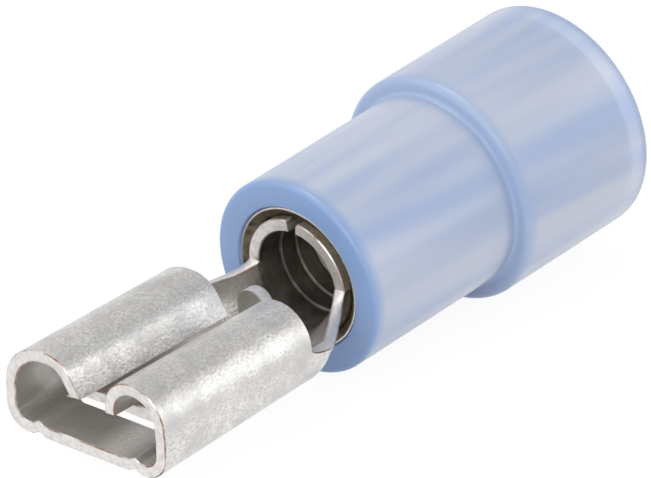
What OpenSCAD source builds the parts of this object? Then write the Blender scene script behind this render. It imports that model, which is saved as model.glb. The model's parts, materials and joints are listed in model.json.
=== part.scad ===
// Female spade terminal for a 4.8 x 0.8 mm tab, with a wire barrel, a crimp sleeve and a nylon insulator.
// It is drawn along its barrel axis, with the wire end towards +X and the receptacle's floor down. lay()
// then puts it as it rests on a table, nose a little low: on the front rims of the insulator's two stages.

/* [Sheet] */
// Thickness of the sheet that the terminal is stamped and rolled from
sheet_t = 0.35; // [0.3:0.01:0.4]

/* [Receptacle] */
// Clear width between the side walls
tab_room_w = 4.9; // [4.9:0.02:5.3]
// Depth of the floor's upper face below the barrel axis
floor_depth = 0.96; // [0.8:0.02:1.1]
// Height of the top of both rolls above the barrel axis, at the mouth
roll_top = 1.33; // [1.2:0.01:1.5]
// Outer radius of the bend between floor and side wall
corner_r = 0.75; // [0.45:0.05:0.8]
// How far the floor sits off the middle of the rolls, towards the open roll: the walls lean by as much
floor_shift = 0.13; // [0:0.01:0.2]
// Length of the rolls, from the mouth to their rear ends
roll_l = 5.6; // [5:0.1:6.5]
// How much lower the rolls are at their rear ends than at the mouth
roll_drop = 0.24; // [0:0.02:0.3]

/* [Tight roll] */
// Outer radius where this roll leaves the wall
tight_arch_r = 1.02; // [0.95:0.01:1.2]
// Straight stretch along its top
tight_crown = 0.02; // [0.02:0.02:0.2]
// Outer radius where it turns down
tight_curl_r = 1.02; // [0.8:0.01:1.1]
// Angle through which it turns down
tight_curl_angle = 93; // [70:1:100]
// Straight stretch at its tip
tight_tail = 0.05; // [0.05:0.05:0.2]

/* [Open roll] */
// Outer radius where this roll leaves the wall
open_arch_r = 1.47; // [1.2:0.01:1.6]
// Straight stretch along its top
open_crown = 0.14; // [0.02:0.02:0.4]
// Outer radius where it turns down
open_curl_r = 0.9; // [0.5:0.01:1]
// Angle through which it turns down
open_curl_angle = 62; // [45:1:70]
// Straight stretch at its tip
open_tail = 0.64; // [0.5:0.02:0.95]
// How far its slanted tip falls back on the inner face
open_slant = 0.15; // [0:0.01:0.3]

/* [Floor] */
// Height of the two stiffening beads in the front strip of the floor
bead_h = 0.1; // [0.04:0.01:0.14]
// Width of each bead
bead_w = 0.5; // [0.4:0.05:0.7]
// Distance from the centre line to each bead
bead_y = 1.68; // [1.5:0.02:1.75]
// Length of the front strip, from the mouth to the slot
strip_l = 1.5; // [1:0.05:2]
// Length of the slot along the terminal
slot_l = 0.61; // [0.5:0.05:1]
// Width of the slot across the floor
slot_w = 4.1; // [4.1:0.05:4.3]

/* [Neck] */
// Length of the neck, from the rolls' rear ends to the barrel
neck_l = 2.5; // [2:0.1:3.2]
// Depth of the neck walls' top edge below the barrel axis, at the rolls
shoulder_depth = 0.07; // [0:0.01:0.2]
// How far that edge sags between the rolls and the barrel
neck_sag = 0.34; // [0.1:0.01:0.5]
// How much higher the inner edge of those walls stands than the outer, as they lean out
neck_edge_rise = 0.13; // [0.05:0.01:0.18]
// Length over which the wall stays at full width at its top edge
shoulder_l = 0.8; // [0.4:0.05:1.2]

/* [Tab stop] */
// Width of the tongue that stops the tab
stop_w = 1.05; // [0.8:0.05:1.4]
// Height of the tongue's round top above the barrel axis
stop_top = 0.45; // [0.2:0.05:0.6]
// Distance from the tongue's front face to the barrel
stop_gap = 1.74; // [1.5:0.02:2]
// Length of the opening behind the tongue, out of which it was bent up
lance_l = 1.2; // [0.8:0.05:1.3]

/* [Barrel] */
// Inside radius of the wire barrel
bore_r = 1.33; // [1.2:0.01:1.35]
// Length of the wire barrel
barrel_l = 4.8; // [4.5:0.1:5.1]
// Width of the butt seam along its top
seam_w = 0.32; // [0.1:0.02:0.4]
// Number of serration grooves in the bore
groove_count = 5; // [3:1:5]
// Distance from the front rim to the first groove
groove_start = 0.85; // [0.5:0.05:1]
// Distance from groove to groove
groove_pitch = 0.6; // [0.5:0.02:0.8]
// Width of each groove
groove_w = 0.16; // [0.1:0.02:0.2]
// Depth of each groove
groove_depth = 0.07; // [0.03:0.01:0.1]
// Chamfer at the bore's rear end, where the wire comes in
lead_in = 0.12; // [0.05:0.01:0.2]

/* [Crimp sleeve] */
// Wall of the crimp sleeve
sleeve_wall = 0.3; // [0.2:0.01:0.35]
// Depth of its front end behind the insulator's front face
sleeve_recess = 0.06; // [0.03:0.01:0.3]
// Depth of the cone that its front end is countersunk with
sleeve_flare = 0.22; // [0.1:0.02:0.24]
// Depth of its rear end inside the insulator's rear face
sleeve_setback = 0.4; // [0.2:0.05:1]
// Length of its cone, from the front stage to the rear stage
cone_l = 1.2; // [0.8:0.1:1.6]

/* [Insulator] */
// Outside radius of the front stage
front_r = 2.77; // [2.65:0.01:2.95]
// Outside radius of the rear stage
rear_r = 3.24; // [3.1:0.01:3.5]
// Length of the front stage
front_l = 5.57; // [5.3:0.05:6]
// Length of the rear stage
rear_l = 4.98; // [4:0.05:6]
// Wall of the rear stage
rear_wall = 0.62; // [0.55:0.01:0.7]
// Radius of the rounded rim of the front face
front_rim_r = 0.14; // [0.08:0.02:0.2]
// Radius of the rounded rims of the rear stage
rim_r = 0.22; // [0.1:0.02:0.25]
// Radius of the fillet where the front stage meets the step
root_r = 0.12; // [0.06:0.02:0.2]

/* [Fits] */
// Radial clearance between barrel and sleeve
barrel_fit = 0.03; // [0.02:0.01:0.06]
// Radial clearance between sleeve and insulator
sleeve_fit = 0.02; // [0.02:0.01:0.05]

/* [Hidden] */
$fn = 96;

// Barrel and receptacle
barrel_r = bore_r + sheet_t;
half_w = tab_room_w / 2 + sheet_t;
floor_z = -floor_depth - sheet_t;
mouth_x = -neck_l - roll_l;
shoulder_z = -shoulder_depth;
seam_flare = 0.1;
// Cuts reach this far past the sheet that they go through
cut_over = 0.6;
// The tongue's root reaches up from this height in the floor, above the floor's lower face
stop_root = 0.1;
// The arch's first point above the neck's top edge stands this many degrees past it
edge_step = 3;

// The neck's end reaches this far into the barrel's wall, this much thinner on each face
lap_l = 0.2;
lap_inset = 0.015;
// The neck's walls end this high on the barrel's round, above its axis
lap_rise = 0.12;

// Sleeve and insulator
front_bore_r = barrel_r + barrel_fit;
sleeve_r = front_bore_r + sleeve_wall;
wire_r = rear_r - rear_wall - sleeve_fit - sleeve_wall;
hole_r = sleeve_r + sleeve_fit;
wide_r = wire_r + sleeve_wall;
chamber_r = wide_r + sleeve_fit;
body_l = front_l + rear_l;
cone_gap = 0.1;
cone_x = barrel_l + cone_gap;
edge_c = 0.05;
rim_n = 6;
// The rim and the fillet of the step, which share the step's height
step_rim = min(rim_r, (rear_r - front_r) / 2);
step_root = min(root_r, (rear_r - front_r) / 3);

// Rest: the line that touches the rounded front rims of both stages, and the ends of the box along it
rims = [front_l + step_rim - front_rim_r, rear_r - step_rim - front_r + front_rim_r];
rest_tilt = atan2(rims[1], rims[0]) + asin((step_rim - front_rim_r) / norm(rims));
rest_z = front_rim_r * (1 - sin(rest_tilt)) + (front_r - front_rim_r) * cos(rest_tilt);
low_x = mouth_x * cos(rest_tilt) - roll_top * sin(rest_tilt);
high_x = (body_l - rim_r) * cos(rest_tilt) + (rear_r - rim_r) * sin(rest_tilt) + rim_r;

// Points in each stretch of the sheet's outline
floor_n = 8;
corner_n = 6;
wall_n = 3;
arch_n = 10;
curl_n = 8;
low_n = floor_n + corner_n + wall_n;
neck_n = 14;

// A point, its outward direction, and how far the inner face falls back there along the sheet:
// where an arc of outer radius r about [y, z] stands at an angle
function on_arc(y, z, r, angle) = [y + r * cos(angle), z + r * sin(angle), cos(angle), sin(angle), 0];

// How high the bead lifts the floor at a distance y from the centre line
function bead_lift(y, share) = abs(y - bead_y) < bead_w / 2
    ? share * bead_h * (1 + cos(360 * (y - bead_y) / bead_w)) / 2 : 0;

// The floor, corner and wall of one side, from the centre line out and up to the neck wall's top edge.
// arch_z is the height where the roll's arch begins, which may lie below that edge.
function low_side(arch_r, arch_z, share) = let(corner_y = half_w - corner_r, corner_z = floor_z + corner_r)
    concat(
        [for (i = [0:floor_n - 1]) let(
            a = bead_y - bead_w / 2,
            y = i == 0 ? 0 : a + (i - 1) * bead_w / (floor_n - 2)
        ) [y, floor_z + bead_lift(y, share), 0, -1, 0]],
        [for (i = [0:corner_n - 1]) on_arc(corner_y, corner_z, corner_r, -90 + 90 * i / corner_n)],
        [for (i = [0:wall_n - 1]) let(
            z = corner_z + (shoulder_z - corner_z) * i / (wall_n - 1),
            angle = z > arch_z ? asin((z - arch_z) / arch_r) : 0
        ) [half_w - arch_r * (1 - cos(angle)), z, cos(angle), sin(angle), 0]]
    );

// The rest of a side: the arch, the straight crown, the curl and the tail, up to the tip
function high_side(arch_r, arch_z, crown, curl_r, curl_angle, tail, slant) = let(
        arch_y = half_w - arch_r,
        from = max(0, asin(max(-1, min(1, (shoulder_z - arch_z) / arch_r))) + edge_step),
        curl_y = arch_y - crown,
        curl_z = arch_z + arch_r - curl_r,
        end = on_arc(curl_y, curl_z, curl_r, 90 + curl_angle)
    ) concat(
        [for (i = [0:arch_n]) on_arc(arch_y, arch_z, arch_r, from + (90 - from) * i / arch_n)],
        [for (i = [0:curl_n]) on_arc(curl_y, curl_z, curl_r, 90 + curl_angle * i / curl_n)],
        [[end[0] - tail * end[3], end[1] + tail * end[2], end[2], end[3], slant]]
    );

function tight_side(drop, share) = let(arch_z = roll_top - tight_arch_r - drop) concat(
    low_side(tight_arch_r, arch_z, share),
    high_side(tight_arch_r, arch_z, tight_crown, tight_curl_r, tight_curl_angle, tight_tail, 0));

function open_side(drop, share) = let(arch_z = roll_top - open_arch_r - drop) concat(
    low_side(open_arch_r, arch_z, share),
    high_side(open_arch_r, arch_z, open_crown, open_curl_r, open_curl_angle, open_tail, open_slant));

// The barrel's lower round, with the points of a side's floor, corner and wall spread along it
function round_side(outer) = [for (i = [0:low_n - 1]) let(
    along = i / (low_n - 1),
    angle = -90 + (90 + asin(lap_rise / barrel_r)) * along
) on_arc(0, 0, outer, angle)];

// A point moved sideways by the lean of the walls, which grows from the barrel axis down to the floor
function leant(x, y, z, shift) = [x, y + shift * max(0, min(1, z / floor_z)), z];

// One side at a place along X, as pairs of outer and inner points
function faces_at(x, side, thick, shift) = [for (p = side) [
    leant(x, p[0], p[1], shift),
    leant(x, p[0] - thick * p[2] + p[4] * p[3], p[1] - thick * p[3] - p[4] * p[2], shift)]];

// The two sides of a place joined into one row of pairs, from the open roll's tip to the tight roll's
function row(open, tight) = concat(
    [for (i = [len(open) - 1:-1:1]) open[i]],
    [for (p = tight) [for (q = p) [q[0], -q[1], q[2]]]]);

function ease(u) = u * u * (3 - 2 * u);

// A side of the neck: from the receptacle's section to the barrel's, the bottom first and the top edge
// later, so that the walls lean out on the way, as sheet does between a tray and a tube
function neck_side(x, start, end) = [for (i = [0:low_n - 1]) let(
    high = max(0, (i - floor_n) / (low_n - 1 - floor_n)),
    from = -neck_l + shoulder_l * high,
    u = max(0, min(1, (x - from) / -from)),
    w = (1 - high) * ease(u) + high * u,
    bow = pow(high, 2) * sqrt(max(0, sin(180 * (x + neck_l) / neck_l)))
) [for (k = [0, 1]) [x, (1 - w) * start[i][k][1] + w * end[i][k][1],
    (1 - w) * start[i][k][2] + w * end[i][k][2] - (neck_sag - k * neck_edge_rise) * bow]]];

function low_part(side) = [for (i = [0:low_n - 1]) side[i]];

// The rolled sheet from the mouth to the barrel, as one skin over rows of outer and inner points
module rolled_sheet() {
    slot_x = mouth_x + strip_l;
    stations = [[mouth_x, 0, 1], [slot_x, strip_l / roll_l, 1],
        [slot_x + slot_l, (strip_l + slot_l) / roll_l, 0], [-neck_l, 1, 0]];
    roll_rows = [for (s = stations) row(
        faces_at(s[0], open_side(roll_drop * s[1], s[2]), sheet_t, floor_shift),
        faces_at(s[0], tight_side(roll_drop * s[1], s[2]), sheet_t, -floor_shift))];
    open_start = faces_at(-neck_l, low_part(open_side(roll_drop, 0)), sheet_t, floor_shift);
    tight_start = faces_at(-neck_l, low_part(tight_side(roll_drop, 0)), sheet_t, -floor_shift);
    lap = faces_at(0, round_side(barrel_r - lap_inset), sheet_t - 2 * lap_inset, 0);
    neck_rows = concat(
        [for (k = [1:neck_n]) let(x = -neck_l * (1 - k / neck_n))
            row(neck_side(x, open_start, lap), neck_side(x, tight_start, lap))],
        [let(end = [for (p = lap) [for (q = p) q + [lap_l, 0, 0]]]) row(end, end)]);

    n = len(roll_rows[0]);
    m = len(neck_rows[0]);
    first = len(open_side(0, 0)) - low_n;
    rolls = len(roll_rows);
    points = concat([for (r = roll_rows) for (p = r) each p], [for (r = neck_rows) for (p = r) each p]);
    // Index of a point: its place in the row, its row, and 0 for the outer or 1 for the inner face
    function at(i, r, k) = r < rolls ? 2 * (r * n + i) + k
        : 2 * (rolls * n + (r - rolls) * m + i - first) + k;
    last = rolls + len(neck_rows) - 1;
    faces = concat(
        // The rolls, full rows, then the neck, which has only the lower part of each row
        [for (r = [0:rolls - 2]) each skin(0, n - 1, r)],
        [for (r = [rolls - 1:last - 1]) each skin(first, first + m - 1, r)],
        // The mouth, the rear ends of the two rolls, and the end in the barrel's wall
        [for (i = [0:n - 2]) [at(i + 1, 0, 0), at(i, 0, 0), at(i, 0, 1), at(i + 1, 0, 1)]],
        rear_end(0, first, rolls - 1),
        rear_end(first + m - 1, n - 1, rolls - 1),
        rear_end(first, first + m - 1, last)
    );
    // The outer face, the inner face and the two long edges from row r to the next, places a to b
    function skin(a, b, r) = concat(
        [for (i = [a:b - 1]) each [
            [at(i, r, 0), at(i + 1, r, 0), at(i, r + 1, 0)],
            [at(i + 1, r, 0), at(i + 1, r + 1, 0), at(i, r + 1, 0)],
            [at(i, r, 1), at(i, r + 1, 1), at(i + 1, r, 1)],
            [at(i + 1, r, 1), at(i, r + 1, 1), at(i + 1, r + 1, 1)]]],
        [[at(a, r, 0), at(a, r + 1, 0), at(a, r, 1)], [at(a, r, 1), at(a, r + 1, 0), at(a, r + 1, 1)],
            [at(b, r, 0), at(b, r, 1), at(b, r + 1, 0)], [at(b, r, 1), at(b, r + 1, 1), at(b, r + 1, 0)]]
    );
    // The sheet's cut face at row r, places a to b, looking towards +X
    function rear_end(a, b, r) = [for (i = [a:b - 1])
        [at(i, r, 0), at(i + 1, r, 0), at(i + 1, r, 1), at(i, r, 1)]];
    polyhedron(points, faces, convexity = 8);
}

// Cuts through the sheet: the slot across the floor, and the opening that the tab stop came out of
module sheet_cuts() {
    translate([mouth_x + strip_l, floor_shift - slot_w / 2, floor_z - cut_over])
        cube([slot_l, slot_w, sheet_t + 2 * cut_over]);
    back_x = -stop_gap + sheet_t;
    end_x = back_x + lance_l - stop_w / 2;
    low_z = -barrel_r - cut_over;
    translate([back_x, -stop_w / 2, low_z])
        cube([end_x - back_x, stop_w, cut_over - floor_depth - low_z]);
    translate([end_x, 0, low_z])
        cylinder(h = cut_over - floor_depth - low_z, d = stop_w);
}

// The tongue that stands up out of the neck's floor, with a round top
module tab_stop() {
    root_z = floor_z + stop_root;
    translate([-stop_gap, 0, 0])
        rotate([90, 0, 90])
            linear_extrude(sheet_t) {
                translate([0, stop_top - stop_w / 2])
                    circle(d = stop_w);
                translate([-stop_w / 2, root_z])
                    square([stop_w, stop_top - stop_w / 2 - root_z]);
            }
}

// A profile of [x, radius] points turned about the barrel axis
module turned(profile) {
    rotate([90, 0, 90])
        rotate_extrude()
            polygon([for (p = profile) [p[1], p[0]]]);
}

// The wire barrel: a tube with serration grooves inside, open along the top at its butt seam
module barrel() {
    grooves = [for (k = [groove_count:-1:1]) let(x = groove_start + (k - 1) * groove_pitch) each [
        [x + groove_w / 2, bore_r], [x + groove_w / 4, bore_r + groove_depth],
        [x - groove_w / 4, bore_r + groove_depth], [x - groove_w / 2, bore_r]]];
    difference() {
        turned(concat(
            [[0, bore_r], [0, barrel_r], [barrel_l, barrel_r], [barrel_l, bore_r + lead_in],
                [barrel_l - lead_in, bore_r]],
            grooves));
        translate([-cut_over, 0, 0])
            rotate([90, 0, 90])
                linear_extrude(barrel_l + 2 * cut_over)
                    polygon([[-seam_w / 2, 0], [seam_w / 2, 0], [seam_w / 2, barrel_r - seam_flare],
                        [seam_w / 2 + seam_flare, barrel_r], [seam_w / 2 + seam_flare, barrel_r + cut_over],
                        [-seam_w / 2 - seam_flare, barrel_r + cut_over], [-seam_w / 2 - seam_flare, barrel_r],
                        [-seam_w / 2, barrel_r - seam_flare]]);
    }
}

module terminal() {
    lay() color([0.8, 0.79, 0.77]) {
        difference() {
            rolled_sheet();
            sheet_cuts();
        }
        tab_stop();
        barrel();
    }
}

// Points of a rounded corner with centre [x, r], from one angle to another
function rounding(x, r, radius, from, to) = [for (i = [0:rim_n])
    let(angle = from + (to - from) * i / rim_n) [x + radius * cos(angle), r + radius * sin(angle)]];

// The stepped tube between barrel and insulator: it is crimped along with the wire's own covering
module crimp_sleeve() {
    lay() color([0.72, 0.56, 0.33]) turned([
        [sleeve_recess + sleeve_flare, front_bore_r],
        [sleeve_recess, front_bore_r + sleeve_flare],
        [sleeve_recess, sleeve_r - edge_c],
        [sleeve_recess + edge_c, sleeve_r],
        [cone_x, sleeve_r],
        [cone_x + cone_l, wide_r],
        [body_l - sleeve_setback, wide_r],
        [body_l - sleeve_setback, wire_r + edge_c],
        [body_l - sleeve_setback - edge_c, wire_r],
        [cone_x + cone_l, wire_r],
        [cone_x, front_bore_r]
    ]);
}

module insulator() {
    lay() color([0.62, 0.71, 0.86]) turned(concat(
        rounding(front_rim_r, front_r - front_rim_r, front_rim_r, 180, 90),
        rounding(front_l - step_root, front_r + step_root, step_root, -90, 0),
        rounding(front_l + step_rim, rear_r - step_rim, step_rim, 180, 90),
        rounding(body_l - rim_r, rear_r - rim_r, rim_r, 90, 0),
        [[body_l, chamber_r + rim_r / 2], [body_l - rim_r / 2, chamber_r],
            [cone_x + cone_l, chamber_r], [cone_x, hole_r], [edge_c, hole_r], [0, hole_r + edge_c]]
    ));
}

// The part as it rests, with the floor at z = 0 and its box centred over the origin
module lay() {
    translate([-(low_x + high_x) / 2, 0, rest_z])
        rotate([0, -rest_tilt, 0])
            children();
}

terminal();
crimp_sleeve();
insulator();
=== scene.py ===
import json
import math

import bpy
import numpy as np
from mathutils import Matrix, Vector


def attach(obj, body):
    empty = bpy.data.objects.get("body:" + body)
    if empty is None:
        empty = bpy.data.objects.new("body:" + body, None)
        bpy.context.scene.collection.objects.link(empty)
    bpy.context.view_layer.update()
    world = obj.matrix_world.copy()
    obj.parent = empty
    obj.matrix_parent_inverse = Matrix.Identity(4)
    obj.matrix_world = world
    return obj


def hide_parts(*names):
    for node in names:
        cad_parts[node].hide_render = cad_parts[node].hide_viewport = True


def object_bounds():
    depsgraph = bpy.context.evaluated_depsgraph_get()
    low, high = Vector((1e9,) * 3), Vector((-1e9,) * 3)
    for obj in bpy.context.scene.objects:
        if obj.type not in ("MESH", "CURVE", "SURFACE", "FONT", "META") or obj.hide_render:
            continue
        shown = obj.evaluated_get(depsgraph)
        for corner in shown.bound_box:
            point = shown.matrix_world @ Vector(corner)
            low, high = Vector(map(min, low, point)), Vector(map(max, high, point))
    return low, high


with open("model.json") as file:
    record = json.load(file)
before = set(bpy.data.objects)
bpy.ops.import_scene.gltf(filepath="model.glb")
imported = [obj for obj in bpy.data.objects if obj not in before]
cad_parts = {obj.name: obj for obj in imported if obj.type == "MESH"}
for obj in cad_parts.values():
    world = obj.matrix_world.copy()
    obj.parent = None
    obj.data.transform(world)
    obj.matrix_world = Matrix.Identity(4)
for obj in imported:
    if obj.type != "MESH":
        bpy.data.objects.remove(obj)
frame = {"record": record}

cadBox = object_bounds()

# Everything is worked out in millimetres on the barrel's axis, with the wire end towards +X and the
# receptacle's floor down, and then laid where the frame's barrel mount says, in metres.
mm = 0.001
mounts = {m["name"]: m for m in frame["record"]["mounts"]}
barrelMount = mounts["wire_barrel"]
axisX = Vector(barrelMount["axis"]).normalized()
axisY = Vector((0, 1, 0))
axisZ = axisX.cross(axisY)
barrelFront = Vector(barrelMount["pos_m"]) - axisX * barrelMount["dims"]["length_mm"] * mm / 2
axes = Matrix((axisX, axisY, axisZ)).transposed().to_4x4()
layMatrix = Matrix.Translation(barrelFront) @ axes @ Matrix.Scale(mm, 4)


# eased step: 3u^2 - 2u^3, from 0 to 1
def ease(u):
    u = np.clip(u, 0, 1)
    return u * u * (3 - 2 * u)


# one smooth hump of height 1 over a width, as a raised cosine
def hump(d, width):
    return np.where(np.abs(d) < width / 2, (1 + np.cos(2 * np.pi * d / width)) / 2, 0)


def makeObject(name, verts, faces, materials=(), materialIndex=None):
    mesh = bpy.data.meshes.new(name)
    mesh.from_pydata(verts.reshape(-1, 3).tolist(), [], faces)
    for m in materials:
        mesh.materials.append(m)
    if materialIndex is not None:
        mesh.polygons.foreach_set("material_index", materialIndex)
    mesh.update()
    obj = bpy.data.objects.new(name, mesh)
    bpy.context.scene.collection.objects.link(obj)
    return obj


# the sheet's kinds of face, each with the number of its material
kindOf = {"outer": 0, "wall": 1, "chamfer": 2, "inner": 3}
sheetEdge = {
    "inset": 0.1,            # share of the thickness that a chamfer reaches down from each face
    "mostStep": 0.4,         # share of a cell's length that a point steps back at most
    "cornerShare": 0.7,      # share of that step that the wall's own points take where two edges meet
    "shortest": 1e-9,        # mm, stands in for the length of a cell that has none
}


# a solid from two matching grids of points, outer and inner, with the cells that keep says, and a wall
# along every open edge. Cells wind so that the outer grid faces away from the inner one. Each open edge
# is chamfered: both grids' points there step back into the sheet, and a strip slopes from them to the
# wall. It gives points, faces and the faces' kinds.
def sheetSolid(outer, inner, keep, chamfer):
    f = sheetEdge
    rows, cols = outer.shape[:2]
    index = np.arange(rows * cols).reshape(rows, cols)
    a, b, c, d = index[:-1, :-1], index[:-1, 1:], index[1:, 1:], index[1:, :-1]
    outer, inner = outer.reshape(-1, 3), inner.reshape(-1, 3)
    through = inner - outer
    layers = [outer.copy(), outer + f["inset"] * through, outer + (1 - f["inset"]) * through, inner.copy()]
    shift = rows * cols
    quads = [np.stack([d, c, b, a], -1)[keep], np.stack([a, b, c, d], -1)[keep] + 3 * shift]
    padded = np.pad(keep, 1)
    strips = [[], [], []]
    steps = [np.zeros_like(outer), np.zeros_like(inner)]
    sides = np.zeros(len(outer), int)
    for start, end, startBack, endBack, dr, dc in (
            (a, b, d, c, -1, 0), (b, c, a, d, 0, 1), (c, d, b, a, 1, 0), (d, a, c, b, 0, -1)):
        edge = keep & ~padded[1 + dr:rows + dr, 1 + dc:cols + dc]
        s, e = start[edge], end[edge]
        for k, strip in enumerate(strips):
            near, far = k * shift, (k + 1) * shift
            strip.append(np.stack([s + near, e + near, e + far, s + far], -1))
        sides[np.unique([s, e])] += 1
        for points, total in ((outer, steps[0]), (inner, steps[1])):
            step = np.zeros_like(points)
            for here, back in ((s, startBack[edge]), (e, endBack[edge])):
                way = points[back] - points[here]
                length = np.maximum(np.linalg.norm(way, axis=1, keepdims=True), f["shortest"])
                step[here] = way / length * np.minimum(chamfer, f["mostStep"] * length)
            total += step
    # where two edges meet, the wall's own points step back by a share too, which shortens the spur there
    corner = f["cornerShare"] * (sides > 1)[:, None]
    for layer, step in zip(layers, (steps[0], corner * steps[0], corner * steps[1], steps[1])):
        layer += step
    walls = [np.concatenate(strip) for strip in strips]
    faces = np.concatenate(quads + walls)
    kindNames = ("outer", "inner", "chamfer", "wall", "chamfer")
    kinds = np.repeat([kindOf[name] for name in kindNames], [len(part) for part in quads + walls])
    verts = np.concatenate(layers)
    used, renumbered = np.unique(faces, return_inverse=True)
    return verts[used], renumbered.reshape(faces.shape), kinds


# a closed ring from a profile of [x, radius] points turned about the barrel axis
def turnedSolid(profile, steps):
    profile = np.array(profile)
    angle = np.linspace(0, 2 * np.pi, steps, endpoint=False)
    x = np.repeat(profile[:, 0][:, None], steps, 1)
    r = profile[:, 1][:, None]
    verts = np.stack([x, r * np.cos(angle), r * np.sin(angle)], -1)
    index = np.arange(verts.shape[0] * steps).reshape(-1, steps)
    nextRow, nextCol = np.roll(index, -1, 0), np.roll(index, -1, 1)
    both = np.roll(nextRow, -1, 1)
    faces = np.stack([index, nextCol, both, nextRow], -1).reshape(-1, 4)
    return verts, faces


# points of an arc about [x, r], from one angle to another
def arc(x, r, radius, start, end, count=8):
    angle = np.radians(np.linspace(start, end, count))
    return np.stack([x + radius * np.cos(angle), r + radius * np.sin(angle)], -1).tolist()


# applies the modifiers in millimetres, lays the mesh in the frame, and smooths it up to an angle
def finishPiece(obj, sharpAngle):
    bpy.context.view_layer.update()
    evaluated = obj.evaluated_get(bpy.context.evaluated_depsgraph_get())
    mesh = bpy.data.meshes.new_from_object(evaluated)
    obj.modifiers.clear()
    obj.data = mesh
    mesh.transform(layMatrix)
    mesh.shade_smooth()
    mesh.set_sharp_from_angle(angle=math.radians(sharpAngle))
    return obj


def ridesAs(obj, node):
    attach(obj, "root")
    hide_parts(node)


# sRGB hex to linear red, green, blue, alpha
def colour(hexCode):
    parts = [int(hexCode[i:i + 2], 16) / 255 for i in (1, 3, 5)]
    return tuple(p / 12.92 if p <= 0.04045 else ((p + 0.055) / 1.055) ** 2.4 for p in parts) + (1,)


# adds a node with its settings and links: settings name properties, inputs give a value or a socket
def addNode(tree, kind, inputs=None, **settings):
    node = tree.nodes.new(kind)
    for key, value in settings.items():
        setattr(node, key, value)
    for key, value in (inputs or {}).items():
        if isinstance(value, bpy.types.NodeSocket):
            tree.links.new(value, node.inputs[key])
        else:
            node.inputs[key].default_value = value
    return node


def newMaterial(name):
    material = bpy.data.materials.new(name)
    material.use_nodes = True
    tree = material.node_tree
    tree.nodes.clear()
    return material, tree


def setOutput(tree, shader, volume=None):
    output = addNode(tree, "ShaderNodeOutputMaterial", {"Surface": shader.outputs[0]})
    if volume:
        tree.links.new(volume.outputs[0], output.inputs["Volume"])


tinFinish = {
    "light": "#F1EFEC",
    "dull": "#CBCAC9",
    "cloud": 0.75,            # mm, how wide the duller patches are
    "cloudBlend": (0.32, 0.62),
    "roughness": 0.39,
    "spread": 0.03,           # how far the roughness goes up and down with the patches
    "grain": 0.10,            # mm, the plating's grain, drawn coarser than real so that it shows
    "grainDepth": 0.016,      # mm
    "speck": 0.055,           # mm, the plating's light and dark specks, also drawn coarser
    "speckStretch": 1.8,      # how much longer they are along the sheet
    "speckDark": "#C9C7C5",
    "speckBlend": (0.34, 0.62),
    "inside": "#E2DFDB",      # the inner face, under a film from the press
    "paintedShadeInside": "#8A837B",  # painted shade: the inner face darkened in the barrel, for the shade that falls inside the bore
    "paintedShadeSpan": (-2.6, -0.3),  # mm along the barrel's axis, between which the inner face goes over into its painted shade
    "film": "#C6C2BC",        # the film's duller patches
    "filmBlend": (0.1, 0.6),
    "filmRoughness": 0.47,
    "filmSpread": 0.04,
}
noiseSpan = (0.3, 0.7)        # nearly all of a noise's values lie between these
octaveShare = 0.6             # how much of its strength a noise keeps from each octave to the next


# a noise on the object's own coordinates, a feature every so many millimetres, stretched along X
def grainNoise(tree, every, detail=3.0, stretch=1.0):
    place = addNode(tree, "ShaderNodeTexCoord").outputs["Object"]
    drawn = addNode(tree, "ShaderNodeMapping", {"Vector": place, "Scale": (1 / stretch, 1, 1)})
    noise = addNode(tree, "ShaderNodeTexNoise", {"Vector": drawn.outputs["Vector"],
                    "Scale": 1 / (every * mm), "Detail": detail, "Roughness": octaveShare})
    return noise.outputs["Fac"]


# how far a point lies along the barrel's axis from its front end, in metres
def alongAxis(tree):
    place = addNode(tree, "ShaderNodeTexCoord").outputs["Object"]
    offset = addNode(tree, "ShaderNodeVectorMath", {0: place, 1: barrelFront}, operation="SUBTRACT")
    along = addNode(tree, "ShaderNodeVectorMath", {0: offset.outputs[0], 1: axisX}, operation="DOT_PRODUCT")
    return along.outputs["Value"]


# goes from one colour to another as a value goes from low to high
def blendColours(tree, value, low, high, first, second):
    share = addNode(tree, "ShaderNodeMapRange", {"Value": value, "From Min": low, "From Max": high})
    mix = addNode(tree, "ShaderNodeMix", {0: share.outputs["Result"]}, data_type="RGBA")
    for socket, tone in ((mix.inputs[6], first), (mix.inputs[7], second)):
        if isinstance(tone, str):
            socket.default_value = colour(tone)
        else:
            tree.links.new(tone, socket)
    return mix.outputs[2]


# a metal of a blended tone: its roughness goes down as a noise goes up, by a spread each way, and its
# grain stands up by a depth in mm
def metalShader(tree, tone, patches, rough, spread, grain, depth):
    low, high = noiseSpan
    roughness = addNode(tree, "ShaderNodeMapRange", {"Value": patches, "From Min": low, "From Max": high,
                        "To Min": rough + spread, "To Max": rough - spread})
    bump = addNode(tree, "ShaderNodeBump", {"Height": grain, "Distance": depth * mm, "Strength": 1.0})
    shader = addNode(tree, "ShaderNodeBsdfPrincipled", {"Base Color": tone, "Metallic": 1.0,
                     "Roughness": roughness.outputs["Result"], "Normal": bump.outputs["Normal"]})
    setOutput(tree, shader)


# Matt tin electroplated on rolled brass: a light neutral grey with a satin, slightly cloudy face, a fine
# grain that breaks up the highlights, and light and dark specks between its crystals
def matteTinPlate():
    f = tinFinish
    material, tree = newMaterial("matteTinPlate")
    patches = grainNoise(tree, f["cloud"], detail=5.0)
    specks = grainNoise(tree, f["speck"], detail=2.0, stretch=f["speckStretch"])
    cloudy = blendColours(tree, patches, *f["cloudBlend"], f["dull"], f["light"])
    tone = blendColours(tree, specks, *f["speckBlend"], f["speckDark"], cloudy)
    grain = grainNoise(tree, f["grain"])
    metalShader(tree, tone, patches, f["roughness"], f["spread"], grain, f["grainDepth"])
    return material
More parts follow.
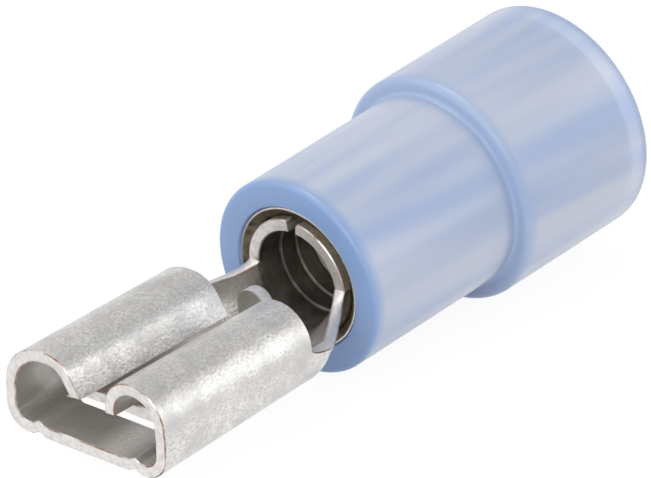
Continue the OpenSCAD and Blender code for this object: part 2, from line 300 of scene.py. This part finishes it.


# The same sheet's inner face: duller, and with painted shade that darkens it towards the barrel, where
# shade falls inside the bore
def innerTinPlate():
    f = tinFinish
    material, tree = newMaterial("innerTinPlate")
    patches = grainNoise(tree, f["cloud"], detail=5.0)
    # painted shade: the inner face blends into a darker tone along the axis, into the barrel
    low, high = (v * mm for v in f["paintedShadeSpan"])
    tone = blendColours(tree, alongAxis(tree), low, high, f["inside"], f["paintedShadeInside"])
    cloudy = blendColours(tree, patches, *f["filmBlend"], f["film"], tone)
    grain = grainNoise(tree, f["grain"])
    metalShader(tree, cloudy, patches, f["filmRoughness"], f["filmSpread"], grain, f["grainDepth"])
    return material


# Where the plated sheet was sheared: pale and rough, torn across the thickness
shearedTin = {
    "name": "shearedTin", "tones": ("#D2CFCD", "#E8E5E3"), "blend": (0.3, 0.6),
    "every": 0.16, "stretch": 1,      # mm between specks, and how much longer they are along X
    "roughness": 0.48, "spread": 0.05,
    "depth": 0.012,                   # mm
}
# The sheared edge's burr, where bare brass shows through the tin as a thin, broken, orange-brown line
brassBurr = {
    "name": "brassBurr", "tones": ("#8A6450", "#D6D1CC"), "blend": (0.38, 0.58),
    "every": 0.7, "stretch": 1,
    "roughness": 0.40, "spread": 0.04,
    "depth": 0.004,
}
# Drawn brass tube, left bare and gone dull: a dark olive brown, streaked along the drawing
drawnBrass = {
    "name": "drawnBrass", "tones": ("#5C5448", "#9A8D79"), "blend": (0.3, 0.65),
    "every": 0.2, "stretch": 2,
    "roughness": 0.42, "spread": 0.05,
    "depth": 0.012,
}


# a metal of two tones whose tone, roughness and grain all follow one noise
def speckledMetal(finish):
    f = finish
    material, tree = newMaterial(f["name"])
    speck = grainNoise(tree, f["every"], detail=4.0, stretch=f["stretch"])
    tone = blendColours(tree, speck, *f["blend"], *f["tones"])
    metalShader(tree, tone, speck, f["roughness"], f["spread"], speck, f["depth"])
    return material


nylonFinish = {
    "body": "#BBCEF0",       # what light picks up near the surface
    "streak": "#E0E7F5",     # the paler streaks that run with the flow of the moulding
    "frontTone": "#A0C1F1",  # the body near the front face, seen through a long way of nylon
    "rearTone": "#BCD1F2",   # the same at the step and at the wire end, where that way is shorter
    "edgeDepth": (0.02, 0.4),  # mm from those faces, where the deeper blue starts and ends
    "streakWidth": 1.7,      # mm
    "streakStretch": 12,     # how much longer they are along the part
    "streakBlend": (0.36, 0.62),
    "depth": "#6F97E3",      # the tint that light takes on along its way through a wall
    "density": 170,          # per metre
    "ior": 1.53,
    "clear": 0.42,           # how much light goes on through, against what the nylon scatters back
    "roughness": 0.30,
    "waves": 1.6,            # mm, how wide the mould's slow waves are
    "waveStretch": 6,
    "waveDepth": 0.012,      # mm
}


# Blue polyamide 6.6, injection moulded: half clear and a little milky, so that walls seen from the side
# are pale over the metal inside, and faces, rims and edges seen through a long way of nylon are blue
def blueNylon():
    f = nylonFinish
    material, tree = newMaterial("translucentNylon")
    waves = grainNoise(tree, f["waves"], detail=2.0, stretch=f["waveStretch"])
    streaks = grainNoise(tree, f["streakWidth"], detail=2.0, stretch=f["streakStretch"])
    body = blendColours(tree, streaks, *f["streakBlend"], f["body"], f["streak"])
    along = alongAxis(tree)
    low, high = (v * mm for v in f["edgeDepth"])
    tones = {tubes["length"]: f["rearTone"], tubes["stepX"]: f["rearTone"], 0: f["frontTone"]}
    for faceX, tone in tones.items():
        away = addNode(tree, "ShaderNodeMath", {0: along, 1: faceX * mm}, operation="SUBTRACT").outputs[0]
        gap = addNode(tree, "ShaderNodeMath", {0: away}, operation="ABSOLUTE").outputs[0]
        body = blendColours(tree, gap, low, high, tone, body)
    bump = addNode(tree, "ShaderNodeBump", {"Height": waves, "Distance": f["waveDepth"] * mm,
                   "Strength": 1.0})
    shader = addNode(tree, "ShaderNodeBsdfPrincipled", {"Base Color": body, "IOR": f["ior"],
                     "Roughness": f["roughness"], "Transmission Weight": f["clear"],
                     "Normal": bump.outputs["Normal"]})
    tint = addNode(tree, "ShaderNodeVolumeAbsorption", {"Color": colour(f["depth"]),
                   "Density": f["density"]})
    setOutput(tree, shader, tint)
    return material


# the part's settings give lengths in mm and angles in degrees, on the barrel's own axes
sheet = {
    "thick": 0.35,
    "halfWidth": 2.80,       # outer faces of the side walls, from the centre line
    "floorZ": -1.31,         # the floor's underside
    "cornerR": 0.75,
    "lean": 0.13,            # how far the floor sits off the middle of the rolls, towards the open one
    "mouthX": -8.1,
    "rollEndX": -2.5,
    "rollTop": 1.33,
    "rollDrop": 0.24,        # how much lower the rolls are at their rear ends
    "slotX": -6.60, "slotLength": 0.61,
    "beadY": 1.68, "beadWidth": 0.5, "beadHeight": 0.1,
    "shoulderZ": -0.07,      # where the side walls end and the rolls begin
    "archGap": 3,            # how far round the arch the roll's columns begin past the wall's end
    "shoulderLength": 0.8,   # how far the neck's edges stay like the walls behind the rolls
    "sag": 0.34,             # how far those edges dip on the way to the barrel
    "edgeRise": 0.13,        # how much less the inner face dips there
    "barrelLength": barrelMount["dims"]["length_mm"],
    "barrelRise": 0.12,      # how far above the axis the neck's edges meet the barrel
    "seamHalf": 0.16, "lipRound": 0.1,
    "lipCrowding": 1.6,      # how much the columns crowd towards the seam
    "grooves": 5, "grooveStart": 0.85, "groovePitch": 0.6, "grooveWidth": 0.16, "grooveDepth": 0.07,
    "leadIn": 0.12,
    "chamfer": 0.03,
    "sliver": 0.003,         # points closer than this become one, once the opening is cut
    "sharpAngle": 40,
}
sheet["barrelR"] = barrelMount["dims"]["r_mm"] + sheet["thick"]
# a roll is an arch, a straight crown, a curl by an angle and a straight tail, whose inner face falls short
# by the slant at the tip. Its lean says which way the wall below it leans.
tightRoll = {"archR": 1.02, "crown": 0.02, "curlR": 1.02, "curl": 93, "tail": 0.05, "slant": 0, "lean": -1}
openRoll = {"archR": 1.47, "crown": 0.14, "curlR": 0.9, "curl": 62, "tail": 0.64, "slant": 0.15, "lean": 1}
tongue = {
    "width": 1.05, "top": 0.45, "frontX": -1.74,
    "root": 0.05,            # how far above the floor's underside it starts
    "tipHalf": 0.01,         # its half width at the very top, where the round would come to a point
    "opening": 1.2,          # length of the opening behind it
    "cutZ": -2.4, "cutHeight": 2,
}
# how many points each stretch has: of half a section, from the centre line outward, ...
places = {"flat": 8, "bead": 12, "corner": 9, "wall": 8, "arch": 20, "curl": 18, "tail": 5}
places["floor"] = places["flat"] + places["bead"] + 2
lowCount = places["floor"] + places["corner"] + places["wall"]
highCount = places["arch"] + places["curl"] + places["tail"]
# ... of the sheet from the mouth to the wire end, and of the tongue
rowPlaces = {"front": 9, "slot": 5, "rolls": 18, "neck": 44, "barrel": 14}
tonguePlaces = {"shaft": 8, "top": 16, "across": 21, "cutEnd": 25}


# floor, corner and wall of one side from the centre line outward: columns of y, z, outward direction, and
# how far the inner face falls back along the sheet
def lowSide(roll, drop, beadShare):
    s = sheet
    archZ = s["rollTop"] - roll["archR"] - drop
    flatHalf = s["halfWidth"] - s["cornerR"]       # the slot is as wide as the flat floor
    edges = np.array([0, s["beadY"] - s["beadWidth"] / 2, s["beadY"] + s["beadWidth"] / 2, flatHalf])
    y = np.concatenate([np.linspace(edges[0], edges[1], places["flat"], endpoint=False),
                        np.linspace(edges[1], edges[2], places["bead"], endpoint=False),
                        [edges[2], edges[3]]])
    z = s["floorZ"] + beadShare * s["beadHeight"] * hump(y - s["beadY"], s["beadWidth"])
    floor = np.stack([y, z, 0 * y, 0 * y - 1])
    angle = np.radians(np.linspace(-90, 0, places["corner"] + 1, endpoint=False))[1:]
    corner = np.stack([flatHalf + s["cornerR"] * np.cos(angle),
                       s["floorZ"] + s["cornerR"] + s["cornerR"] * np.sin(angle),
                       np.cos(angle), np.sin(angle)])
    z = np.linspace(s["floorZ"] + s["cornerR"], s["shoulderZ"], places["wall"])
    angle = np.arcsin(np.clip((z - archZ) / roll["archR"], 0, 1))
    wall = np.stack([s["halfWidth"] - roll["archR"] * (1 - np.cos(angle)), z, np.cos(angle), np.sin(angle)])
    low = np.concatenate([floor, corner, wall], 1)
    return np.concatenate([low, 0 * low[:1]])


# the rest of a side, up to its tip: an arc, a short straight crown, a curl and a straight tail
def highSide(roll, drop):
    s = sheet
    archZ = s["rollTop"] - roll["archR"] - drop
    archY = s["halfWidth"] - roll["archR"]
    reached = math.asin(max(-1, min(1, (s["shoulderZ"] - archZ) / roll["archR"])))
    start = max(0, reached + math.radians(s["archGap"]))
    angle = np.linspace(start, np.pi / 2, places["arch"])
    archPart = np.stack([archY + roll["archR"] * np.cos(angle), archZ + roll["archR"] * np.sin(angle),
                         np.cos(angle), np.sin(angle)])
    curlY, curlZ = archY - roll["crown"], archZ + roll["archR"] - roll["curlR"]
    angle = np.pi / 2 + np.radians(np.linspace(0, roll["curl"], places["curl"]))
    curlPart = np.stack([curlY + roll["curlR"] * np.cos(angle), curlZ + roll["curlR"] * np.sin(angle),
                         np.cos(angle), np.sin(angle)])
    along = np.linspace(0, roll["tail"], places["tail"] + 1)[1:]
    c, n = np.cos(angle[-1]), np.sin(angle[-1])
    tailPart = np.stack([curlPart[0, -1] - along * n, curlPart[1, -1] + along * c,
                         0 * along + c, 0 * along + n])
    high = np.concatenate([archPart, curlPart, tailPart], 1)
    fallBack = np.zeros((1, high.shape[1]))
    fallBack[0, -places["tail"]:] = roll["slant"] * along / roll["tail"]
    return np.concatenate([high, fallBack])


# outer and inner points of a section at a place along X. The walls lean: a point moves sideways by a share
# of the lean that grows from the barrel's axis down to the floor.
def faces(section, x, roll):
    y, z, dy, dz, back = section
    thick = sheet["thick"]
    outer = np.stack([0 * y + x, y, z], -1)
    inner = np.stack([0 * y + x, y - thick * dy + back * dz, z - thick * dz - back * dy], -1)
    both = np.stack([outer, inner])
    both[..., 1] += roll["lean"] * sheet["lean"] * np.clip(both[..., 2] / sheet["floorZ"], 0, 1)
    return both


# a section of the barrel: the low columns go round to just above the axis, the high ones on to the seam
def barrelSection(innerR):
    s = sheet
    rise = math.asin(s["barrelRise"] / s["barrelR"])
    seam = math.asin(s["seamHalf"] / s["barrelR"])
    low = np.linspace(-np.pi / 2, rise, lowCount)
    end = np.pi / 2 - seam
    high = end - (end - rise) * (1 - np.linspace(0, 1, highCount + 1)[1:]) ** s["lipCrowding"]
    angle = np.concatenate([low, high])
    # each lip of the seam is rounded off by a quarter circle
    toLip = np.clip(1 - s["barrelR"] * (end - angle) / s["lipRound"], 0, 1)
    outerR = s["barrelR"] - s["lipRound"] * (1 - np.sqrt(1 - toLip ** 2))
    outer = np.stack([0 * angle, outerR * np.cos(angle), outerR * np.sin(angle)], -1)
    inner = np.stack([0 * angle, innerR * np.cos(angle), innerR * np.sin(angle)], -1)
    return np.stack([outer, inner])


# one half of the sheet, as rows along X of columns from the centre line to the edge
def halfSheet(roll, rows):
    s = sheet
    boreR = s["barrelR"] - s["thick"]
    tube = barrelSection(boreR)

    def rollSection(x, drop, share):
        return faces(np.concatenate([lowSide(roll, drop, share), highSide(roll, drop)], 1), x, roll)

    grid = []
    for x in rows:
        if x <= s["rollEndX"]:
            along = (x - s["mouthX"]) / (s["rollEndX"] - s["mouthX"])
            drop = s["rollDrop"] * along
            share = 1.0 if x <= s["slotX"] else 0.0
            grid.append(rollSection(x, drop, share))
        elif x < 0:
            start = rollSection(x, s["rollDrop"], 0)
            high = np.clip((np.arange(lowCount) - places["floor"]) / (lowCount - 1 - places["floor"]), 0, 1)
            high = np.concatenate([high, np.ones(highCount)])
            begin = s["rollEndX"] + s["shoulderLength"] * high
            u = np.clip((x - begin) / -begin, 0, 1)
            w = ((1 - high) * ease(u) + high * u)[None, :, None]
            section = (1 - w) * start + w * tube
            section[..., 0] = x
            bend = math.sqrt(max(0, math.sin(math.pi * (x - s["rollEndX"]) / -s["rollEndX"])))
            sag = np.array([[s["sag"]], [s["sag"] - s["edgeRise"]]])
            section[..., 2] -= sag * high ** 2 * bend
            grid.append(section)
        else:
            grooveX = s["grooveStart"] + np.arange(s["grooves"]) * s["groovePitch"]
            d = np.min(np.abs(x - grooveX))
            depth = s["grooveDepth"] * np.clip((s["grooveWidth"] / 2 - d) / (s["grooveWidth"] / 4), 0, 1)
            leadIn = max(0, x - (s["barrelLength"] - s["leadIn"]))
            section = barrelSection(boreR + depth + leadIn)
            section[..., 0] = x
            grid.append(section)
    return np.array(grid)      # rows, face, column, xyz


# what was cut round the tongue: a slot with a round end, from the tongue's back towards the barrel
def tongueOpening(materials):
    g = tongue
    half = g["width"] / 2
    startX = g["frontX"] + sheet["thick"]
    turn = np.linspace(-np.pi / 2, np.pi / 2, tonguePlaces["cutEnd"])
    endX = startX + g["opening"] - half
    x = np.concatenate([[startX], endX + half * np.cos(turn), [startX]])
    y = np.concatenate([[-half], half * np.sin(turn), [half]])
    low = np.stack([x, y, 0 * x + g["cutZ"]], -1)
    high = low + (0, 0, g["cutHeight"])
    count = len(x)
    ring = np.arange(count)
    walls = np.stack([ring, np.roll(ring, -1), np.roll(ring, -1) + count, ring + count], -1).tolist()
    faces = walls + [ring[::-1].tolist(), (ring + count).tolist()]
    kinds = np.full(len(faces), kindOf["wall"], np.int32)
    return makeObject("opening", np.concatenate([low, high]), faces, materials, kinds)


def buildTerminal(materials):
    s = sheet
    grooveEdges = [s["grooveStart"] + k * s["groovePitch"] + share * s["grooveWidth"]
                   for k in range(s["grooves"]) for share in (-0.5, -0.25, 0.25, 0.5)]
    # rounded to a millionth, so that rows that coincide become one
    rows = np.unique(np.round(np.concatenate([
        np.linspace(s["mouthX"], s["slotX"], rowPlaces["front"]),
        np.linspace(s["slotX"], s["slotX"] + s["slotLength"], rowPlaces["slot"]),
        np.linspace(s["slotX"] + s["slotLength"], s["rollEndX"], rowPlaces["rolls"]),
        np.linspace(s["rollEndX"], 0, rowPlaces["neck"]),
        np.linspace(0, s["barrelLength"], rowPlaces["barrel"]),
        [s["barrelLength"] - s["leadIn"]], grooveEdges]), 6))
    openSide = halfSheet(openRoll, rows)
    tightSide = halfSheet(tightRoll, rows)
    tightSide[..., 1] *= -1
    full = np.concatenate([openSide[:, :, :0:-1], tightSide], 2)
    outer, inner = full[:, 0], full[:, 1]
    mid = (rows[:-1] + rows[1:]) / 2
    columns = full.shape[2]
    centre = openSide.shape[2] - 1
    place = np.abs(np.arange(columns - 1) + 0.5 - centre)       # cells from the centre line
    keep = np.ones((len(mid), columns - 1), bool)
    neck = (mid > s["rollEndX"]) & (mid < 0)
    keep[np.ix_(neck, place > lowCount - 1)] = False
    slot = (mid > s["slotX"]) & (mid < s["slotX"] + s["slotLength"])
    keep[np.ix_(slot, place < places["floor"] - 1)] = False
    verts, quads, kinds = sheetSolid(outer, inner, keep, s["chamfer"])
    obj = makeObject("terminalSheet", verts, quads.tolist(), materials, kinds.astype(np.int32))
    opening = tongueOpening(materials)
    cut = obj.modifiers.new("tongueOpening", "BOOLEAN")
    cut.operation = "DIFFERENCE"
    cut.solver = "EXACT"
    cut.object = opening
    weld = obj.modifiers.new("cutEdges", "WELD")       # closes the slivers along the cut
    weld.merge_threshold = s["sliver"]
    obj.modifiers.new("triangles", "TRIANGULATE").quad_method = "BEAUTY"
    finishPiece(obj, s["sharpAngle"])
    bpy.data.objects.remove(opening)
    ridesAs(obj, "terminal")


# the tab stop: a strip bent up out of the floor, with a round top
def buildTabStop(materials):
    s, g = sheet, tongue
    halfTurn = g["width"] / 2
    turnZ = g["top"] - halfTurn
    turn = np.linspace(0, np.pi / 2, tonguePlaces["top"])[1:]
    z = np.concatenate([np.linspace(s["floorZ"] + g["root"], turnZ, tonguePlaces["shaft"]),
                        turnZ + halfTurn * np.sin(turn)])
    above = np.clip(z - turnZ, 0, halfTurn)
    half = np.sqrt(np.maximum(halfTurn ** 2 - above ** 2, g["tipHalf"] ** 2))
    across = np.linspace(-1, 1, tonguePlaces["across"])
    y = half[:, None] * across[None, :]
    zz = np.repeat(z[:, None], len(across), 1)
    front = np.stack([0 * y + g["frontX"], y, zz], -1)
    back = np.stack([0 * y + g["frontX"] + s["thick"], y, zz], -1)
    keep = np.ones((len(z) - 1, len(across) - 1), bool)
    verts, quads, kinds = sheetSolid(front, back, keep, s["chamfer"])
    kinds = np.where(kinds == kindOf["inner"], kindOf["outer"], kinds)      # both faces are plated alike
    obj = makeObject("tabStop", verts, quads.tolist(), materials, kinds.astype(np.int32))
    finishPiece(obj, s["sharpAngle"])
    ridesAs(obj, "terminal")


tubes = {
    "steps": 192,            # points round each ring
    "sleeveInner": 1.71, "sleeveOuter": 2.01, "recess": 0.06, "flare": 0.22,
    "coneX": 4.9, "coneLength": 1.2,
    "wireR": 2.3, "wideR": 2.6, "sleeveEnd": 10.15,
    "frontR": 2.77, "rearR": 3.24, "stepX": 5.57, "length": 10.55, "root": 0.12,
    "frontRim": 0.14,        # radius of the front face's rim
    "rim": 0.22,             # radius of the rear stage's rims
    "holeR": 2.03, "chamberR": 2.62,
    "softEdge": 0.05, "softPoints": 4,      # radius and points of the small roundings
    "sharpAngle": 30,
}


# the stepped sleeve: bare brass at its ends and inside, tinned outside and on its front rim
def buildSleeve(bare, plated):
    p = tubes
    e, count = p["softEdge"], p["softPoints"]
    front = [[p["recess"] + p["flare"], p["sleeveInner"]], [p["recess"], p["sleeveInner"] + p["flare"]]]
    front += arc(p["recess"] + e, p["sleeveOuter"] - e, e, 180, 90, count)
    side = [[p["coneX"], p["sleeveOuter"]], [p["coneX"] + p["coneLength"], p["wideR"]]]
    rear = (arc(p["sleeveEnd"] - e, p["wideR"] - e, e, 90, 0, count)
            + arc(p["sleeveEnd"] - e, p["wireR"] + e, e, 0, -90, count)
            + [[p["coneX"] + p["coneLength"], p["wireR"]], [p["coneX"], p["sleeveInner"]]])
    verts, quads = turnedSolid(front + side + rear, p["steps"])
    outside = np.zeros(len(quads), np.int32)
    first = (len(front) - count) * p["steps"]       # from the front rim's rounding on
    outside[first:first + (len(side) + count) * p["steps"]] = 1
    obj = makeObject("crimpSleeve", verts, quads.tolist(), [bare, plated], outside)
    finishPiece(obj, p["sharpAngle"])
    ridesAs(obj, "crimp_sleeve")


def buildInsulator(material):
    p = tubes
    e, r, f = p["softEdge"], p["rim"], p["frontRim"]
    profile = (arc(f, p["frontR"] - f, f, 180, 90)
               + arc(p["stepX"] - p["root"], p["frontR"] + p["root"], p["root"], -90, 0)
               + arc(p["stepX"] + r, p["rearR"] - r, r, 180, 90)
               + arc(p["length"] - r, p["rearR"] - r, r, 90, 0)
               + arc(p["length"] - r / 2, p["chamberR"] + r / 2, r / 2, 0, -90, 5)
               + [[p["coneX"] + p["coneLength"], p["chamberR"]], [p["coneX"], p["holeR"]]]
               + arc(e, p["holeR"] + e, e, -90, -180, p["softPoints"]))
    verts, quads = turnedSolid(profile, p["steps"])
    obj = makeObject("nylonInsulator", verts, quads.tolist(), [material])
    finishPiece(obj, p["sharpAngle"])
    ridesAs(obj, "insulator")


studio = {
    "camera": {"heading": 42.89, "elevation": 25.5, "roll": -2.27, "distance": 204.5, "lens": 432.9,
               "sensor": 36,
               "aim": (-0.06, 0.05, -0.02),      # mm from the middle of the part's box
               "clip": (0.01, 5)},               # metres
    "horizon": 1.0,          # the backdrop's strength all round, up to the height where it ends
    "overhead": 0.62,        # the room's strength above it
    "backdropTop": (0.12, 0.5),      # heights on a sphere of radius 1 between which it fades
    "paper": "#F2F2F2",
    "floorGlow": 0.88,       # the share of the floor that is plain white to the eye, over its shadows
    "floorWhite": 1.05,      # strength of that white, which makes up for the dimmer share left below it
    "floorSize": 0.6,        # metres each way from the middle
    "lampAim": (0, 0, 3),    # this, the lamps' places and their sizes are in mm, and their powers in watts
    "lamps": [
        {"name": "sideSoftbox", "place": (75, -80, 34), "size": (100, 84), "power": 0.027},
        {"name": "topSoftbox", "place": (-20, 20, 95), "size": (70, 50), "power": 0.033},
        {"name": "mouthSoftbox", "place": (-80, -30, 40), "size": (50, 36), "power": 0.020},
        {"name": "leftSoftbox", "place": (-80, 45, 35), "size": (50, 40), "power": 0.008},
    ],
}


# 1 for rays that show the background: straight from the camera, off a shiny face or through a clear one
def showsBackground(tree):
    path = addNode(tree, "ShaderNodeLightPath")
    seen = path.outputs["Is Camera Ray"]
    for kind in ("Is Glossy Ray", "Is Transmission Ray"):
        either = addNode(tree, "ShaderNodeMath", {0: seen, 1: path.outputs[kind]}, operation="MAXIMUM")
        seen = either.outputs[0]
    return seen


# a white backdrop all round that ends in a dimmer room overhead
def buildWorld():
    world = bpy.data.worlds.new("studio")
    bpy.context.scene.world = world
    world.use_nodes = True
    tree = world.node_tree
    tree.nodes.clear()
    place = addNode(tree, "ShaderNodeTexCoord").outputs["Generated"]
    height = addNode(tree, "ShaderNodeSeparateXYZ", {0: place}).outputs["Z"]
    low, high = studio["backdropTop"]
    strength = addNode(tree, "ShaderNodeMapRange", {"Value": height, "From Min": low, "From Max": high,
                       "To Min": studio["horizon"], "To Max": studio["overhead"]},
                       interpolation_type="SMOOTHSTEP").outputs["Result"]
    light = addNode(tree, "ShaderNodeBackground", {"Color": (1, 1, 1, 1), "Strength": strength})
    addNode(tree, "ShaderNodeOutputWorld", {"Surface": light.outputs[0]})


def buildFloor():
    verts = np.array([[-1, -1, 0], [1, -1, 0], [1, 1, 0], [-1, 1, 0]]) * studio["floorSize"]
    material, tree = newMaterial("paperFloor")
    matte = addNode(tree, "ShaderNodeBsdfDiffuse", {"Color": colour(studio["paper"])})
    white = addNode(tree, "ShaderNodeEmission", {"Color": (1, 1, 1, 1), "Strength": studio["floorWhite"]})
    share = addNode(tree, "ShaderNodeMath", {0: showsBackground(tree), 1: studio["floorGlow"]},
                    operation="MULTIPLY")
    mix = addNode(tree, "ShaderNodeMixShader", {0: share.outputs[0], 1: matte.outputs[0],
                  2: white.outputs[0]})
    setOutput(tree, mix)
    makeObject("floor", verts, [[0, 1, 2, 3]], [material])


def buildLamps():
    aim = Vector(studio["lampAim"]) * mm
    for lamp in studio["lamps"]:
        data = bpy.data.lights.new(lamp["name"], "AREA")
        data.shape = "RECTANGLE"
        data.size, data.size_y = (v * mm for v in lamp["size"])
        data.energy = lamp["power"]
        obj = bpy.data.objects.new(lamp["name"], data)
        obj.location = Vector(lamp["place"]) * mm
        obj.rotation_euler = (aim - obj.location).to_track_quat("-Z", "Y").to_euler()
        bpy.context.scene.collection.objects.link(obj)


# the camera looks along a heading and down by an elevation, turned a little about its own line of sight
def buildCamera():
    c = studio["camera"]
    heading, elevation, roll = (math.radians(c[k]) for k in ("heading", "elevation", "roll"))
    forward = Vector((math.cos(heading) * math.cos(elevation), math.sin(heading) * math.cos(elevation),
                      -math.sin(elevation)))
    level = Vector((math.sin(heading), -math.cos(heading), 0))
    right = level * math.cos(roll) + level.cross(forward) * math.sin(roll)
    low, high = cadBox
    aim = (low + high) / 2 + Vector(c["aim"]) * mm
    data = bpy.data.cameras.new("camera")
    data.sensor_width = c["sensor"]
    data.lens = c["lens"]
    data.clip_start, data.clip_end = c["clip"]
    camera = bpy.data.objects.new("camera", data)
    turn = Matrix((right, right.cross(forward), -forward)).transposed().to_4x4()
    camera.matrix_world = Matrix.Translation(aim - forward * c["distance"] * mm) @ turn
    bpy.context.scene.collection.objects.link(camera)
    bpy.context.scene.camera = camera


# in the order of kindOf's numbers
metal = [matteTinPlate(), speckledMetal(shearedTin), speckledMetal(brassBurr), innerTinPlate()]
print("materials made")
buildTerminal(metal)
buildTabStop(metal)
print("terminal made")
buildSleeve(speckledMetal(drawnBrass), metal[kindOf["outer"]])
buildInsulator(blueNylon())
print("sleeve and insulator made")
buildWorld()
buildFloor()
buildLamps()
buildCamera()
bpy.context.scene.view_settings.view_transform = "Standard"
print("studio made")
